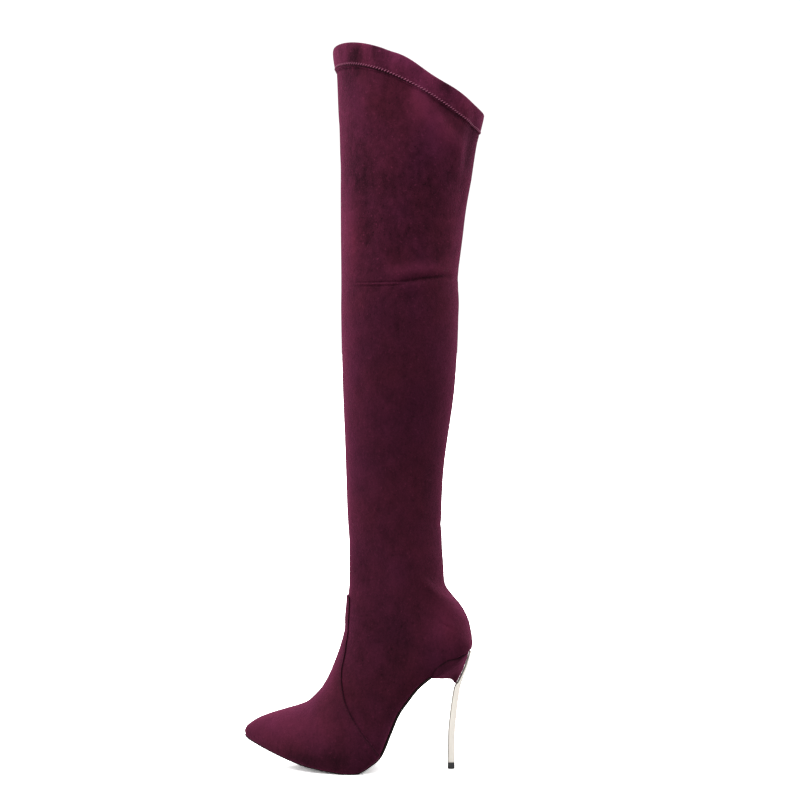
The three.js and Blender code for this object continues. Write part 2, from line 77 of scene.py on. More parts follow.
# Sections from the toe tip round the heel and up to the collar, as shares of the named sizes.
# Each runs from a front point to a back point. wide says where along it the half widths outer
# and inner lie, flat how flat its bottom is, sole_out and sole_in how far the flat reaches.
sections = table(
    "station front_x front_z back back_z outer inner wide flat sole_out sole_in turn bow drop",
    [
        [0, -1.012, 0.29, -1.012, 0.29, 0, 0, 0.6, 1, 0.84, 0.84, 1, 0, 0],
        [0, -0.999, 0.318, -0.997, 0.265, 0.11, 0.11, 0.6, 1, 0.84, 0.84, 0.98, 0, 0],
        [0, -0.968, 0.344, -0.964, 0.243, 0.2, 0.19, 0.6, 1, 0.84, 0.84, 0.95, 0, 0],
        [0, -0.887, 0.391, -0.872, 0.203, 0.35, 0.31, 0.61, 1, 0.84, 0.84, 0.86, 0, 0],
        [0, -0.77, 0.433, -0.745, 0.154, 0.52, 0.45, 0.64, 1, 0.84, 0.83, 0.72, 0, 0],
        [0, -0.637, 0.47, -0.592, 0.101, 0.675, 0.585, 0.68, 1, 0.84, 0.82, 0.56, 0, 0],
        [0, -0.501, 0.506, -0.438, 0.056, 0.81, 0.715, 0.72, 1, 0.84, 0.81, 0.4, 0, 0],
        [0, -0.401, 0.543, -0.297, 0.03, 0.905, 0.805, 0.76, 1, 0.84, 0.81, 0.28, 0, 0],
        [0, -0.319, 0.611, -0.166, 0.013, 0.965, 0.88, 0.79, 1, 0.85, 0.82, 0.18, 0, 0],
        [0, -0.261, 0.669, -0.043, 0, 1, 0.925, 0.81, 1, 0.85, 0.82, 0.1, 0, 0],
        [0.08, -0.202, 0.758, 0.065, 0.006, 1.02, 0.96, 0.81, 1, 0.84, 0.8, 0.05, 0, 0],
        [0.18, -0.153, 0.857, 0.156, 0.058, 1.015, 0.98, 0.8, 1, 0.8, 0.74, 0, 0, 0],
        [0.3, -0.11, 0.956, 0.24, 0.133, 1, 0.98, 0.79, 1, 0.76, 0.68, 0, 0, 0],
        [0.45, -0.07, 1.057, 0.307, 0.289, 0.98, 0.965, 0.78, 1, 0.72, 0.62, 0, 0, 0],
        [0.6, -0.04, 1.153, 0.378, 0.465, 0.965, 0.95, 0.77, 1, 0.7, 0.6, 0, 0, 0],
        [0.75, -0.038, 1.242, 0.461, 0.592, 0.975, 0.955, 0.76, 1, 0.7, 0.62, 0, 0, 0],
        [0.87, -0.028, 1.327, 0.542, 0.698, 0.995, 0.975, 0.76, 1, 0.74, 0.68, 0, 0, 0],
        [0.95, -0.02, 1.404, 0.634, 0.784, 1.015, 1, 0.76, 1, 0.8, 0.77, 0, 0, 0],
        [1, -0.01, 1.48, 0.741, 0.858, 1.035, 1.015, 0.77, 1, 0.85, 0.84, 0, 0, 0],
        [1, -0.008, 1.548, 0.843, 0.936, 1.035, 1.02, 0.78, 1, 0.87, 0.87, 0, 0, 0],
        [1, -0.007, 1.609, 0.933, 0.981, 1.04, 1.03, 0.79, 0.8, 0.87, 0.87, 0, 0, 0],
        [1, -0.007, 1.663, 0.986, 0.998, 1.05, 1.04, 0.79, 0.45, 0.85, 0.85, 0, 0, 0],
        [1, -0.008, 1.708, 1.003, 1.067, 1.06, 1.06, 0.78, 0.15, 0.8, 0.8, 0, 0, 0],
        [1.08, -0.008, 1.754, 1.011, 1.144, 1.055, 1.055, 0.76, 0, 0.8, 0.8, 0, 0, 0],
        [1.2, -0.008, 1.8, 1.012, 1.243, 1.045, 1.045, 0.73, 0, 0.8, 0.8, 0, 0, 0],
        [1.35, -0.01, 1.845, 0.99, 1.339, 1.03, 1.03, 0.69, 0, 0.8, 0.8, 0, 0, 0],
        [1.5, -0.014, 1.891, 0.949, 1.423, 1.015, 1.015, 0.65, 0, 0.8, 0.8, 0, 0, 0],
        [1.63, -0.019, 1.937, 0.931, 1.498, 1.005, 1.005, 0.61, 0, 0.8, 0.8, 0, 0, 0],
        [1.78, -0.023, 1.998, 0.958, 1.617, 1, 1, 0.57, 0, 0.8, 0.8, 0, 0, 0],
        [1.9, -0.029, 2.025, 0.983, 1.769, 1, 1, 0.54, 0, 0.8, 0.8, 0, 0, 0],
        [2, -0.034, 2.06, 1.002, 1.952, 1, 1, 0.52, 0, 0.8, 0.8, 0, 0, 0],
        [2.2, -0.046, 2.145, 0.999, 2.102, 0.96, 0.96, 0.5, 0, 0.8, 0.8, 0, 0, 0],
        [2.6, -0.07, 2.284, 1.04, 2.274, 1.01, 1.01, 0.5, 0, 0.8, 0.8, 0, 0, 0],
        [3, -0.084, 2.435, 1.007, 2.435, 0.99, 0.99, 0.5, 0, 0.8, 0.8, 0, 0, 0],
        [3.05, -0.083, 2.493, 0.991, 2.497, 1, 1, 0.5, 0, 0.8, 0.8, 0, 0, 0],
        [3.1, -0.083, 2.538, 0.978, 2.526, 1, 1, 0.5, 0, 0.8, 0.8, 0, 0, 0],
        [3.2, -0.085, 2.606, 0.99, 2.602, 1.005, 1.005, 0.5, 0, 0.8, 0.8, 0, 0, 0],
        [3.35, -0.087, 2.682, 0.989, 2.677, 1.01, 1.01, 0.5, 0, 0.8, 0.8, 0, 0, 0],
        [3.5, -0.091, 2.757, 1, 2.742, 1.015, 1.015, 0.5, 0, 0.8, 0.8, 0, 0.1, 0],
        [3.7, -0.1, 2.843, 0.994, 2.798, 1.01, 1.01, 0.5, 0, 0.8, 0.8, 0, 0.3, 0],
        [3.92, -0.124, 3, 0.981, 2.868, 1, 1, 0.5, 0, 0.8, 0.8, 0, 0.9, 1],
        [4, -0.144, 3, 1, 2.862, 1, 1, 0.5, 0, 0.8, 0.8, 0, 1, 0],
    ],
)


def height_at(share):
    """0 is the ball, 1 the heel seat, 2 the narrow of the ankle and 3 the collar."""
    heel_part = heel_height * np.minimum(share, 1)
    ankle_part = ankle_rise * np.clip(share - 1, 0, 1)
    return last_lift + heel_part + ankle_part + shaft_rise * np.maximum(share - 2, 0)


def length_at(share):
    """-1 is the toe tip, 0 the ball and 1 the back of the heel."""
    return np.where(share < 0, share * toe_length, share * heel_length)


def smooth(values, at):
    """A Catmull-Rom curve through evenly spaced values, read at fractional places."""
    last = len(values) - 1
    at = np.clip(at, 0, last)
    i = np.minimum(at.astype(int), last - 1)
    a, b, c, d = (values[np.clip(i + n, 0, last)] for n in (-1, 0, 1, 2))
    t = at - i
    return 0.5 * (2 * b + (c - a) * t + (2 * a - 5 * b + 4 * c - d) * t ** 2
                  + (3 * b - a - 3 * c + d) * t ** 3)


def part_row(row):
    """Every column of the section table at fractional rows, its station kept on its scale."""
    section = {name: smooth(values, row) for name, values in sections.items()}
    section["station"] = np.clip(section["station"], 0, len(station_widths) - 1)
    return section


def spine(row):
    """Front and back point of the section at each row, as x and z in the side view."""
    section = part_row(row)
    station = section["station"]
    lower = section["drop"] * band_height - np.maximum(row - collar_row, 0) * over_rise
    front_x = length_at(section["front_x"])
    depth = np.interp(np.maximum(station, 1), range(len(station_depths)), station_depths)
    back_x = np.where(station < 1, length_at(section["back"]), front_x + section["back"] * depth)
    front = np.stack([front_x, height_at(section["front_z"]) - lower], -1)
    return front, np.stack([back_x, height_at(section["back_z"]) - lower], -1)


def spine_normals(row):
    """Outward directions of the front line and the bottom-and-back line at each row."""
    before = spine(np.clip(row - row_nudge, 0, collar_row - 2 * row_nudge))
    after = spine(np.clip(row + row_nudge, 2 * row_nudge, collar_row))
    front, rear = (b - a for a, b in zip(before, after))
    front /= np.linalg.norm(front, axis=-1, keepdims=True)
    rear /= np.linalg.norm(rear, axis=-1, keepdims=True)
    front_out = np.stack([-front[..., 1], front[..., 0]], -1)
    return front_out, np.stack([rear[..., 1], -rear[..., 0]], -1)


def half_width(section):
    """Half the last's full width at each row, on straight lines between the stations."""
    return np.interp(section["station"], range(len(station_widths)), station_widths) / 2


def on_side(step, outer):
    """Steps counted from the front on the outer or the inner side, as steps round the section."""
    return np.where(outer, step, 2 * half_steps - step)


def last_surface(row, step, offset=0.0):
    """Points of the last, grown outward by offset. step goes from 0 at the front over the outer
    side to 15 at the bottom or back, and on over the inner side to 30. Each section's front is a
    superellipse quarter, and its bottom a rounded corner with a flat, blended with a round end."""
    row, step, offset = np.broadcast_arrays(*(np.asarray(v, float) for v in (row, step, offset)))
    section = part_row(row)
    front, rear = spine(row)
    front_out, rear_out = spine_normals(row)
    front = front + front_out * offset[..., None]
    rear = rear + rear_out * offset[..., None]
    outer_side = step <= half_steps
    k = on_side(step, outer_side)
    share = np.where(outer_side, section["outer"], section["inner"])
    reach = np.where(outer_side, section["sole_out"], section["sole_in"])
    half = share * half_width(section)
    width = np.maximum(half + offset, least_share * half)
    angle = np.clip(k / front_steps, 0, 1) * np.pi / 2
    below = np.clip(k - front_steps, 0, bottom_steps)
    end = below / bottom_steps * np.pi / 2
    corner = np.minimum(below / corner_steps, 1) * np.pi / 2
    sole_flat = reach * (bottom_steps - below) / (bottom_steps - corner_steps)
    square = np.where(below <= corner_steps, reach + (1 - reach) * np.cos(corner), sole_flat)
    flat = np.clip(section["flat"], 0, 1)
    bottom = np.sin(end) + (np.sin(corner) - np.sin(end)) * flat
    wide = section["wide"]
    quarter = 2 / front_power
    in_front = k <= front_steps
    front_along = wide * (1 - np.abs(np.cos(angle)) ** quarter)
    along = np.where(in_front, front_along, wide + (1 - wide) * bottom)
    below_across = np.cos(end) + (square - np.cos(end)) * flat
    across = np.where(in_front, np.sin(angle) ** quarter, below_across)
    point = front + (rear - front) * along[..., None]
    rise = section["bow"] * collar_bow * np.sin(np.pi * np.clip(along, 0, 1) ** bow_lean)
    side = np.where(outer_side, -1, 1) * across * width
    return np.stack([point[..., 0], section["turn"] * toe_shift + side, point[..., 1] + rise], -1)


# The upper: one shaft of plum suede from toe to collar, stretched over the last and stitched up
# the centre back. Its wall is 1.8 mm thick, with a bare inner face. It creases at the knee, and
# the top of the shaft hangs in a fold under the band.
wall = 1.8
toe_row = 0.12
lining_toe_row = 0.6
shaft_end = collar_row - 0.03
crease_height = 489
crease_reach = 9
crease_crowding = 5
groove_depth = 0.6
groove_width = 0.55
groove_foot_row = 21
lip_distance = 2.2
lip_width = 1.1
lip_share = 0.35


def bell(distance, width):
    """1 at no distance, falling off on both sides as e to the minus square of distance over width."""
    return np.exp(-(distance / width) ** 2)


def eased(share):
    """A share held between 0 and 1, with a soft start and end."""
    share = np.clip(share, 0, 1)
    return share * share * (3 - 2 * share)


def even_rows(start, end, count):
    """Rows spaced evenly along the longer of the front and the bottom line, and up to six times
    closer round the knee crease."""
    fine = np.linspace(start, end, 6000)
    front, rear = spine(fine)
    stride = [np.linalg.norm(np.diff(line, axis=0), axis=1) for line in (front, rear)]
    middle = (front[1:, 1] + rear[1:, 1]) / 2
    crowd = 1 + crease_crowding * bell(middle - crease_height, crease_reach)
    along = np.concatenate([[0], np.cumsum(np.maximum(*stride) * crowd)])
    return np.interp(np.linspace(0, along[-1], count), along, fine)


# Folds as soft lines in the side view, from (x0, z0) to (x1, z1) and bowed by bend. height is
# a ridge or, below zero, a trough; inner is how much of it shows on the inner side.
folds = table("x0 z0 x1 z1 bend width height inner", [
    [46, 486.4, 101, 494.4, 1, 2.5, -2.3, 0.6],
    [2, 487, 60, 488.4, -0.4, 0.9, -0.6, 0.5],
    [4, 485.6, 60, 486.6, -0.4, 0.8, 0.6, 0.5],
    [-4, 483.8, 58, 484.6, -0.4, 0.9, -0.6, 0.5],
    [36, 494, 108, 503, 1, 6, 2.1, 0.8],
    [30, 480, 104, 486, 1, 5, 0.7, 0.8],
    [66, 678, 112, 614, -5, 8, 2.8, 0.4],
    [110, 632, 106, 586, 0, 5, 1.3, 0.4],
    [125, 656, 113, 592, 1, 6, -2.8, 0.6],
    [98, 668, 114, 646, 0, 5, -1.4, 0.3],
    [119, 612, 107, 545, 3, 3, 0.8, 0.4],
    [-6, 640, 44, 696, 5, 20, 1.3, 0.3],
    [-12, 612, 44, 566, 4, 15, -1.2, 0.3],
    [2, 588, 6, 478, -2, 8, 1, 0.4],
    [14, 590, 20, 500, 2, 7, -0.9, 0.3],
    [96, 590, 100, 505, 2, 9, 0.8, 0.4],
    [96, 480, 92, 380, 4, 9, 0.7, 0.4],
    [4, 470, 8, 360, -3, 8, 0.6, 0.4],
    [92, 204, 66, 158, 5, 12, -0.9, 0.5],
    [96, 158, 84, 130, 3, 9, 0.8, 0.5],
    [40, 232, 44, 170, 4, 14, 0.6, 0.5],
])


def fold_relief(points):
    """How far the folds lift or sink the surface. A fold falls off from its bowed line as a bell
    as wide as its width, and fades to nothing at both ends."""
    x, y, z = np.moveaxis(points, -1, 0)
    side = eased((y + 6) / 12)
    relief = np.zeros_like(x)
    for x0, z0, x1, z1, bend, width, height, inner in zip(*folds.values()):
        length = np.hypot(x1 - x0, z1 - z0)
        run, climb = (x1 - x0) / length, (z1 - z0) / length
        t = ((x - x0) * run + (z - z0) * climb) / length
        away = (z - z0) * run - (x - x0) * climb - bend * 4 * t * (1 - t)
        fade = np.clip(4 * t * (1 - t), 0, 1) ** 0.8
        relief += height * fade * bell(away, width) * (1 + (inner - 1) * side)
    return relief


# Patches of the suede painted paler, or darker where lighter is below zero. Some are the nap's own
# tone, brushed up or down. Others are painted light: painted highlight on the vamp's toe, on the
# fold under the band, over the knee crease and on the heel counter, and painted shade along the
# shaft's front edge and in the fold at the back.
nap_and_light_patches = table("x z wide tall lighter", [
    [-64, 47, 46, 23, 0.42],
    [-24, 108, 12, 30, 0.16],
    [-40, 14, 60, 12, -0.25],
    [98, 152, 24, 34, 0.38],
    [44, 130, 32, 50, -0.1],
    [-12, 618, 16, 74, -0.14],
    [14, 664, 20, 20, 0.06],
    [-1, 682, 12, 24, -0.2],
    [24, 566, 14, 36, 0.12],
    [50, 612, 38, 90, 0.1],
    [52, 646, 26, 26, 0.1],
    [68, 662, 11, 22, 0.8],
    [88, 634, 12, 24, 0.42],
    [121, 622, 11, 34, -0.18],
    [34, 585, 26, 14, -0.08],
    [3, 540, 7, 40, 0.14],
    [76, 501, 30, 8, 0.12],
    [50, 330, 24, 150, -0.04],
    [50, 706, 16, 14, 0.5],
    [80, 692, 9, 12, 0.5],
    [96, 678, 6, 9, -0.5],
    [114, 666, 10, 18, 0.5],
    [6, 708, 6, 8, -0.5],
    [27, 716, 5, 8, -0.3],
    [-6, 712, 6, 9, -0.06],
    [16, 716, 4, 8, 0.2],
])


def nap_and_light_patch_paint(points):
    """How much darker the patches paint the suede, paler below zero. Each is a soft round spot in the
    side view, partly the nap's own tone and partly painted light.
    """
    x, z = points[..., 0], points[..., 2]
    return -sum(lighter * bell(x - x0, wide) * bell(z - z0, tall)
                for x0, z0, wide, tall, lighter in zip(*nap_and_light_patches.values()))


def facing(row, step, offset=0.0):
    """Outward directions of the last's surface: the cross of its two grid directions."""
    around = last_surface(row, step + 0.02, offset) - last_surface(row, step - 0.02, offset)
    upward = last_surface(row + 0.02, step, offset) - last_surface(row - 0.02, step, offset)
    normal = np.cross(around, upward)
    return normal / np.maximum(np.linalg.norm(normal, axis=-1, keepdims=True), 1e-9)


def worn_surface(row, step, offset=0.0):
    """The last's surface with the boot's folds and the groove of its back seam. Also gives the
    relief of the folds and how near the seam is."""
    row, step, offset = np.broadcast_arrays(*(np.asarray(v, float) for v in (row, step, offset)))
    bare = last_surface(row, step, offset)
    relief = fold_relief(bare)
    from_seam = np.abs(bare[..., 1] - smooth(sections["turn"], row) * toe_shift)
    behind = bell(step - half_steps, 1.5) * np.clip((row - groove_foot_row) / 2, 0, 1)
    seam = bell(from_seam, groove_width) - lip_share * bell(from_seam - lip_distance, lip_width)
    seam = behind * seam
    return bare + facing(row, step, offset) * (relief - groove_depth * seam)[..., None], relief, seam


def drawn_in(ring):
    """A ring with all its points at its middle, which closes the end of a grid."""
    return np.broadcast_to(ring.mean(0), ring.shape)[None]


def capped(grid):
    """A grid with both its ends closed at their middles."""
    return np.concatenate([drawn_in(grid[0]), grid, drawn_in(grid[-1])])


def surface(points, closed=False, finish=0, mark=0.0):
    """A grid of points (rows, columns, 3) in millimetres. Its columns meet again where closed is
    true. finish is its material's number, and mark a number at each point for that material."""
    return points, closed, finish, np.broadcast_to(mark, points.shape[:-1])


def make_piece(name, surfaces, finishes, node=None):
    """Joins surfaces into one closed mesh in metres. Points that coincide are merged and faces
    are turned outward. The piece rides on the boot and stands for its node."""
    points, faces, numbers, marks, base = [], [], [], [], 0
    for grid, closed, finish, mark in surfaces:
        rows, columns = grid.shape[:2]
        places = base + np.arange(rows * columns).reshape(rows, columns)
        if closed:
            places = np.concatenate([places, places[:, :1]], 1)
        corners = [places[:-1, :-1], places[:-1, 1:], places[1:, 1:], places[1:, :-1]]
        faces.append(np.stack(corners, -1).reshape(-1, 4))
        numbers.append(np.full(len(faces[-1]), finish))
        points.append(grid.reshape(-1, 3) / 1000)
        marks.append(mark.ravel())
        base += rows * columns
    mesh = bpy.data.meshes.new(name)
    mesh.from_pydata(np.concatenate(points).tolist(), [], np.concatenate(faces).tolist())
    mesh.attributes.new("mark", "FLOAT", "POINT").data.foreach_set("value", np.concatenate(marks))
    mesh.polygons.foreach_set("material_index", np.concatenate(numbers))
    shell = bmesh.new()
    shell.from_mesh(mesh)
    bmesh.ops.remove_doubles(shell, verts=shell.verts, dist=2e-6)
    bmesh.ops.recalc_face_normals(shell, faces=shell.faces)
    if shell.calc_volume(signed=True) < 0:
        bmesh.ops.reverse_faces(shell, faces=shell.faces)
    shell.to_mesh(mesh)
    shell.free()
    mesh.shade_smooth()
    mesh.set_sharp_from_angle(angle=np.radians(55))
    for finish in finishes:
        mesh.materials.append(finish)
    piece = bpy.data.objects.new(name, mesh)
    bpy.context.scene.collection.objects.link(piece)
    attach(piece, "root")
    if node:
        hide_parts(node)
    return piece


class Tone:
    """A value in one material's nodes. Arithmetic on it adds Math nodes."""

    def __init__(self, tree, socket=None):
        self.tree, self.socket = tree, socket

    def node(self, kind, settings=None, sockets=None, out=0):
        """Adds a node of one type, gives it its settings, then its socket values or links."""
        made = self.tree.nodes.new(kind)
        for name, value in (settings or {}).items():
            setattr(made, name, value)
        for name, value in (sockets or {}).items():
            if isinstance(value, Tone):
                self.tree.links.new(value.socket, made.inputs[name])
            else:
                made.inputs[name].default_value = value
        return None if out is None else Tone(self.tree, made.outputs[out])

    def maths(self, operation, *values):
        return self.node("ShaderNodeMath", {"operation": operation}, dict(enumerate(values)))

    def __add__(self, other):
        return self.maths("ADD", self, other)

    def __sub__(self, other):
        return self.maths("SUBTRACT", self, other)

    def __rsub__(self, other):
        return self.maths("SUBTRACT", other, self)

    def __mul__(self, other):
        return self.maths("MULTIPLY", self, other)

    def __pow__(self, other):
        return self.maths("POWER", self, other)

    __radd__ = __add__
    __rmul__ = __mul__

    def held(self):
        """The value kept between 0 and 1."""
        return self.maths("MINIMUM", self.maths("MAXIMUM", self, 0), 1)

    def noise(self, scale, detail=2, stretch=(1, 1, 1)):
        """Noise on Object coordinates. scale is in features a metre."""
        place = self.node("ShaderNodeTexCoord", out="Object")
        place = self.node("ShaderNodeMapping", {}, {"Vector": place, "Scale": stretch})
        return self.node("ShaderNodeTexNoise", {}, {"Vector": place, "Scale": scale, "Detail": detail})

    def mixed(self, low, high):
        """The colour from low to high at this value."""
        return self.node("ShaderNodeMix", {"data_type": "RGBA"}, {0: self, 6: low, 7: high}, 2)


def finish_nodes(name):
    """A new material with an empty tree, and a Tone to start its nodes from."""
    material = bpy.data.materials.new(name)
    material.use_nodes = True
    material.node_tree.nodes.clear()
    return material, Tone(material.node_tree)


def coated(start, sockets, height=None, depth=0.0):
    """Ends a material in a Principled shader, with a bump of that height and depth in metres."""
    if height is not None:
        bump = start.node("ShaderNodeBump", {}, {"Height": height, "Distance": depth})
        sockets = {**sockets, "Normal": bump}
    shader = start.node("ShaderNodeBsdfPrincipled", {}, sockets)
    start.node("ShaderNodeOutputMaterial", {}, {"Surface": shader}, None)


def suede(name, deep, red, violet):
    """Brushed suede: short fibres, brushed patches of a hand's and of a finger's width, and small
    dark and pale specks of nap. Its lit side drifts between red and violet, and above the knee,
    where the shaft is handled most, the patches are stronger. Where mark is high it is darker,
    and where it is below zero paler. mark is painted shade in creases, grooves, under the band,
    at the band's and the vamp's edges and on the heel cup, painted highlight on ridges and puffs,
    and patches that are partly the nap's own tone and partly painted light."""
    material, start = finish_nodes(name)
    fibre = start.noise(1400, 3, (1, 1, 0.7))
    strands = start.noise(420, 2, (1, 1, 0.55))
    brushed = start.noise(95, 2, (1, 1, 0.7))
    patches = start.noise(28, 3, (1, 1, 0.7))
    blots = start.noise(150, 1, (1, 1, 0.8))
    specks = start.noise(460, 1)
    ends = (specks * 10 - 6.6).held()
    pits = (3.4 - specks * 10).held()
    mark = start.node("ShaderNodeAttribute", {"attribute_name": "mark"}, out="Fac")
    nap = 0.3 + (fibre - 0.5) * 0.26 + (strands - 0.5) * 0.22 + (brushed - 0.5) * 0.3
    place = start.node("ShaderNodeTexCoord", out="Object")
    height = start.node("ShaderNodeSeparateXYZ", {}, {0: place}, "Z")
    handled = (height * 12 - 5.2).held()
    nap = nap + (patches - 0.5) * (0.28 + handled * 0.12) + (blots - 0.5) * handled * 0.4
    nap = (nap + ends * (0.2 + handled * 0.2) - pits * (0.14 + handled * 0.1) - mark * 0.75).held()
    drift = (start.noise(20, 2, (1, 1, 0.8)) * 2.4 - 0.7).held()
    coated(start, {
        "Base Color": nap.mixed(deep, drift.mixed(red, violet)),
        "Roughness": 0.95 - ends * 0.1,
        "Specular IOR Level": 0.07,
        "Sheen Weight": 0.5,
        "Sheen Roughness": 0.45,
        "Sheen Tint": (0.73, 0.12, 0.32, 1),
    }, fibre + strands * 0.6 + brushed * 1.2 + specks * 0.5, 0.0005)
    return material


def bare_leather():
    """The flesh side inside the shaft: matt, with short loose fibres."""
    material, start = finish_nodes("bare_inner_leather")
    fibre = start.noise(1100, 4)
    cloud = start.noise(25, 2)
    shade = (0.4 + (fibre - 0.5) * 0.7 + (cloud - 0.5) * 0.8).held()
    coated(start, {
        "Base Color": shade.mixed((0.05, 0.02, 0.026, 1), (0.13, 0.06, 0.07, 1)),
        "Roughness": 0.9 - shade * 0.1,
        "Specular IOR Level": 0.2,
    }, fibre, 0.0003)
    return material


plum_suede = suede("plum_suede", (0.006, 0.0012, 0.0024, 1), (0.129, 0.0175, 0.04, 1),
                   (0.121, 0.0175, 0.054, 1))
inner_leather = bare_leather()
seam_steps = half_steps + np.array([-0.2, -0.12, -0.08, -0.04, 0, 0.04, 0.08, 0.12, 0.2])
ring = np.unique(np.concatenate([np.linspace(0, 30, 150, endpoint=False), seam_steps]))
outside, relief, seam = worn_surface(even_rows(toe_row, shaft_end, 350)[:, None], ring)
inside = worn_surface(even_rows(lining_toe_row, shaft_end, 150)[::-1, None], ring, -wall)[0]
# The shaft's mark is painted light: painted shade in the troughs of the folds and creases, in the back
# seam's groove and in a line just under the band, and painted highlight on the folds' ridges, with the
# patches added on top.
shadow_under_band = bell(outside[..., 2] - outside[-1, :, 2] + band_height + 0.6, 1.4)
nap_and_painted_light = np.clip(-relief / 6, -0.35, 0.35) + 0.3 * np.clip(seam, 0, 1) + 0.35 * shadow_under_band
nap_and_painted_light = nap_and_painted_light + nap_and_light_patch_paint(outside)
nap_and_painted_light = np.concatenate([nap_and_painted_light[:1], nap_and_painted_light])
shaft = surface(np.concatenate([drawn_in(outside[0]), outside]), True, 0, nap_and_painted_light)
lining = surface(np.concatenate([outside[-1:], inside, drawn_in(inside[-1])]), True, 1)
make_piece("upper_suede", [shaft, lining], [plum_suede, inner_leather], "upper")

# The vamp: a second layer of suede over the toe and instep, 1.2 mm thick. Its seam runs from
# the top of the instep down to the sole, its cut edge is turned down and it is stitched along it.
vamp_leather = 1.2
vamp_offset = gap + vamp_leather
sole_welt = 1.2
bare_row = 0.6
seam_line = table("x z", [
    [-0.09, 1.43],
    [-0.02, 1.41],
    [-0.011, 1.37],
    [-0.018, 1.236],
    [-0.045, 1.016],
    [-0.081, 0.842],
    [-0.071, 0.697],
    [-0.023, 0.549],
    [0.085, 0.365],
    [0.181, 0.236],
    [0.261, 0.125],
    [0.34, 0],
])
vamp_heart = 7
fan_rows = 7.5
fan_angle = 66
fan_rays = 500
comb_lines = 110
near_seam = [0, 0.0015, 0.004, 0.008, 0.014]
spread_rows = 3.5


def travelled(line):
    """How far along a line of points each one lies: the sum of the stretches before it."""
    return np.concatenate([[0], np.cumsum(np.linalg.norm(np.diff(line, axis=0), axis=1))])


def before_seam(points):
    """How far in front of the vamp's seam each point lies in the side view."""
    at = np.linspace(0, len(seam_line["x"]) - 1, 400)
    x, z = smooth(length_at(seam_line["x"]), at), smooth(height_at(seam_line["z"]), at)
    return np.interp(points[..., 2], z[::-1], x[::-1]) - points[..., 0]


def feather_step(row, offset, outer):
    """Where a ring grown by offset meets the sole's side edge, as steps from the front. In front
    of the sole it is the middle of the bottom."""
    section = part_row(row)
    half = section["outer" if outer else "inner"] * half_width(section)
    reach = section["sole_out" if outer else "sole_in"]
    across = (reach * half + sole_welt + gap) / (half + offset)
    corner = np.arccos(np.clip((across - reach) / (1 - reach), 0, 1)) / (np.pi / 2)
    edge_step = front_steps + corner_steps * corner
    return half_steps + (edge_step - half_steps) * eased((row - bare_row) / 0.4)


def crossing(inside_of, low, high):
    """Halves the way from low to high until it finds where inside_of falls below zero."""
    for _ in range(34):
        middle = (low + high) / 2
        within = inside_of(middle) > 0
        low, high = np.where(within, middle, low), np.where(within, high, middle)
    return low


def seam_places(count, offset, outer):
    """Rows and steps of the seam from the top of the instep to the sole's edge, evenly spaced.
    Steps count from the front. They are found on rays that fan out from the front at vamp_heart."""
    angle = np.radians(np.linspace(0, fan_angle, fan_rays))

    def place(reach):
        step = np.minimum(reach * np.sin(angle), 1) * half_steps
        return vamp_heart + reach * np.cos(angle) * fan_rows, step

    def inside_of(reach):
        row, step = place(reach)
        return before_seam(last_surface(row, on_side(step, outer), offset))

    row, step = place(crossing(inside_of, np.full(fan_rays, 0.3), np.full(fan_rays, 1.6)))
    kept = np.argmax(step > feather_step(row, offset, outer)) or len(row)
    row, step = row[:kept], step[:kept]
    along = travelled(last_surface(row, on_side(step, outer), offset))
    even = np.linspace(0, along[-1], count)
    return np.interp(even, along, row), np.interp(even, along, step)


def vamp_side(offset, outer, lip):
    """Half of the vamp, as a comb of lines from the seam to the toe tip. They start where the
    seam is and spread to even steps round the last. lip rounds the seam's and the sole's edge
    down to the leather's underside, which has the same comb and so the same edge. From bare_row
    to the toe tip there is no sole, and the two halves meet along the middle at full thickness."""
    seam_row, seam_step = seam_places(comb_lines, vamp_offset, outer)
    tooth = np.linspace(0, 1, comb_lines)
    run = np.concatenate([near_seam[:-1], np.linspace(near_seam[-1], 1, 96)])[:, None]
    row = seam_row + (toe_row - seam_row) * run
    share = seam_step / seam_step[-1]
    spread = eased((seam_row - row) / spread_rows)
    step = feather_step(row, vamp_offset, outer) * (share + (tooth - share) * spread)
    ahead_of_sole = np.cumsum(row < bare_row, 0) > 1
    edge = np.minimum(run * 140, (1 - tooth) * 70 + ahead_of_sole)
    proud = gap + (offset - gap) * np.sqrt(1 - (1 - np.clip(edge, 0, 1)) ** 2) if lip else offset
    grid = worn_surface(row, on_side(step, outer), proud)[0]
    around_tip = np.linspace(0, 2 * half_steps, 60, endpoint=False)
    tip = worn_surface(toe_row, around_tip, offset)[0].mean(0)
    grid = np.concatenate([grid, np.broadcast_to(tip, grid.shape[1:])[None]])
    # Painted shade: the suede is darkened along the seam's edge and along the sole's edge, and the
    # patches are added.
    painted_edge_shade = np.clip(1 - np.append(edge, edge[-1:], 0) / 1.6, 0, 1) * 0.5
    return surface(grid, mark=painted_edge_shade + nap_and_light_patch_paint(grid))


halves = [vamp_side(vamp_offset, outer, True) for outer in (True, False)]
halves += [vamp_side(gap, outer, False) for outer in (True, False)]
make_piece("vamp_suede", halves, [plum_suede], "vamp")


